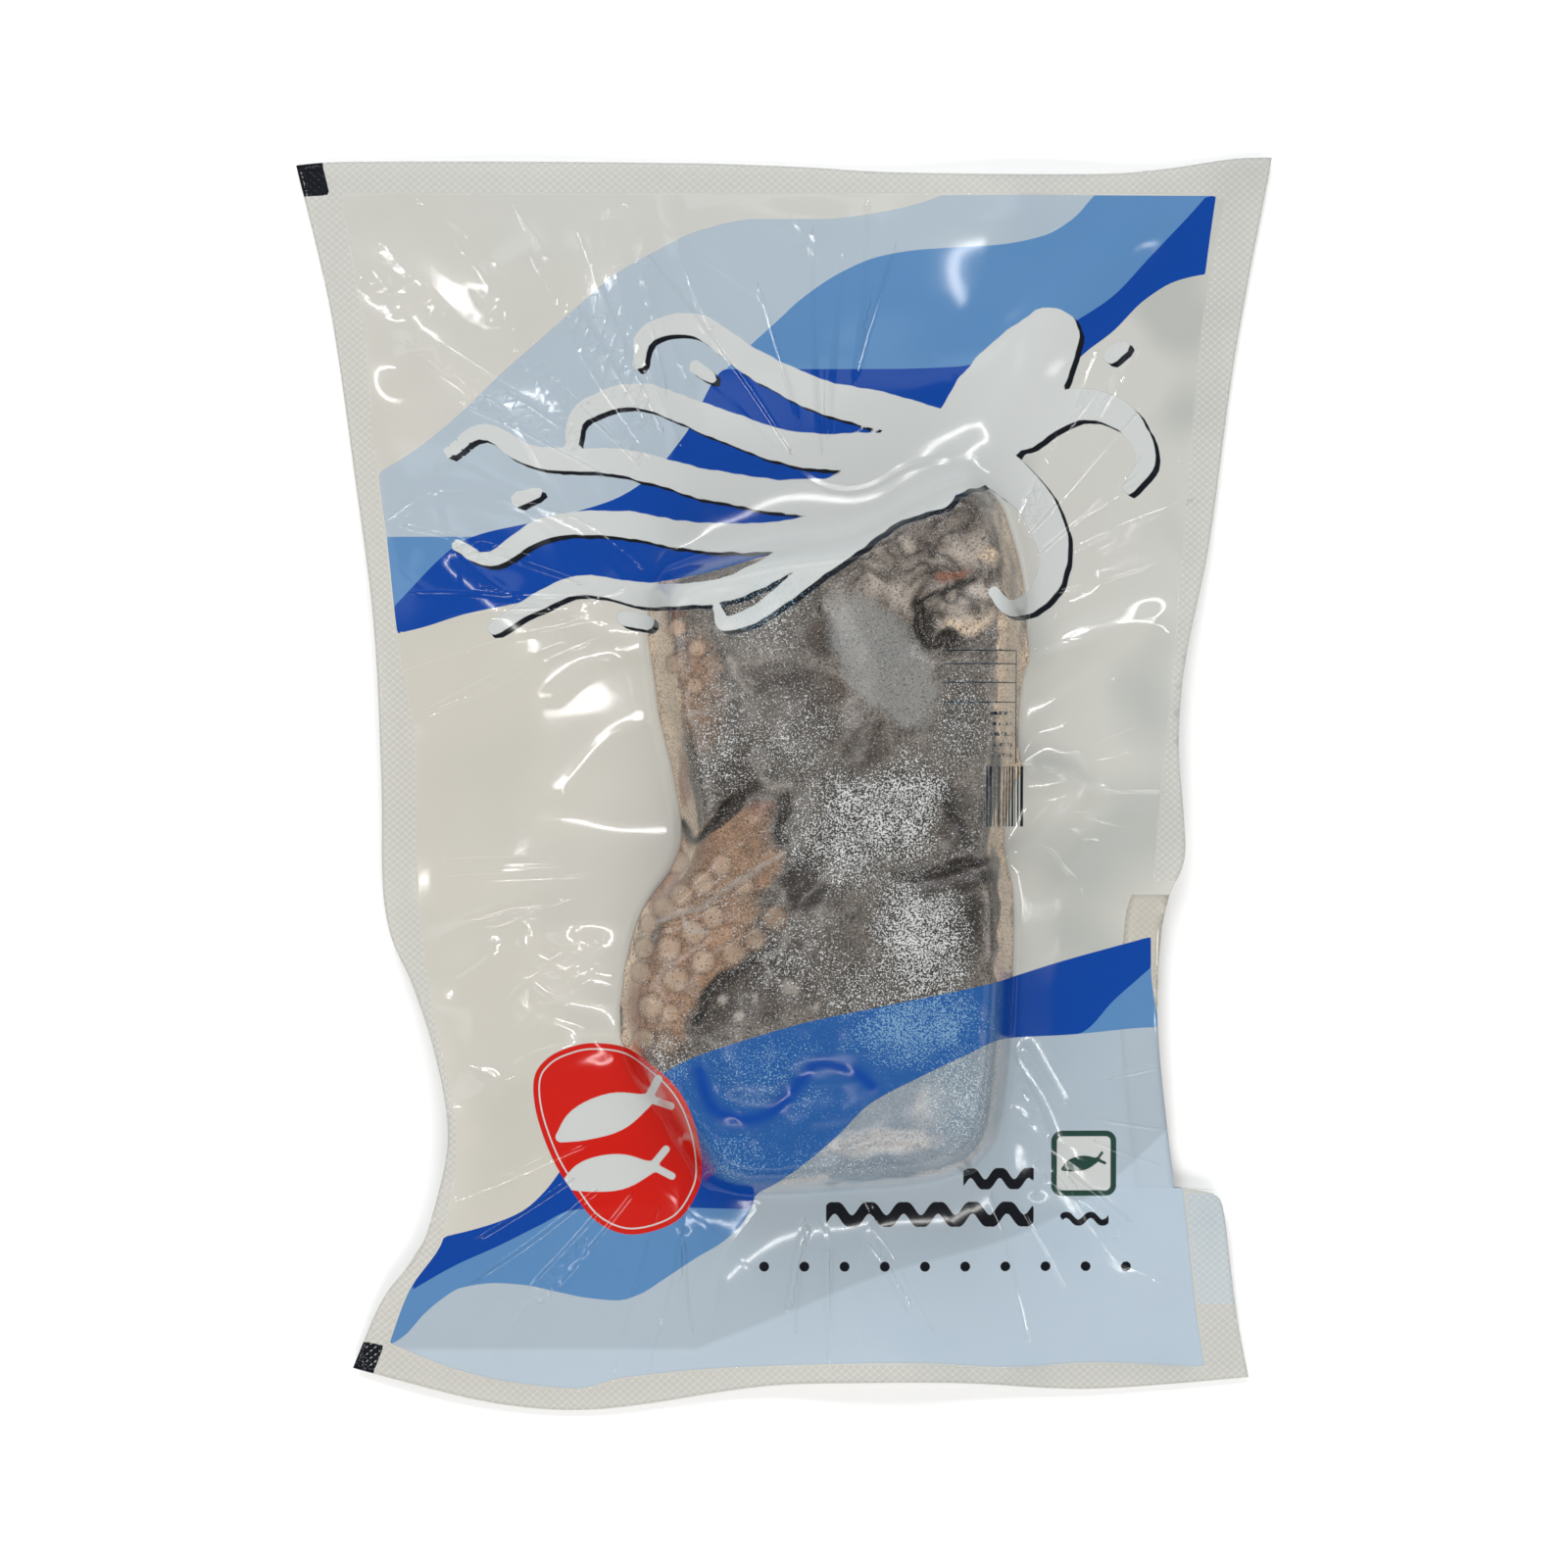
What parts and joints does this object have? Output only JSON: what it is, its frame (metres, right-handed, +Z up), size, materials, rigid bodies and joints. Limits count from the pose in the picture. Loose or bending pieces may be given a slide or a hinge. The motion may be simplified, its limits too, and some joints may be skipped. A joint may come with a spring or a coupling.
{
  "type": "vacuum pack of frozen octopus",
  "caption": "Flat clear vacuum pouch with sealed, crimped rims, drawn tight over a frozen block of folded octopus arms and mantle; lies on its back, printed film up.",
  "frame": {"origin": "centre of the pouch's outline, on the surface that it lies on", "axes": "+Z up out of the printed film, +Y to the pouch's top edge, +X to the right of the print"},
  "size_m": [0.2212, 0.284, 0.0284],
  "materials": {
    "film": "clear glossy printed film over frosted grey-brown flesh"
  },
  "bodies": {
    "root": {"vacuum_pouch": "film"}
  },
  "joints": []
}
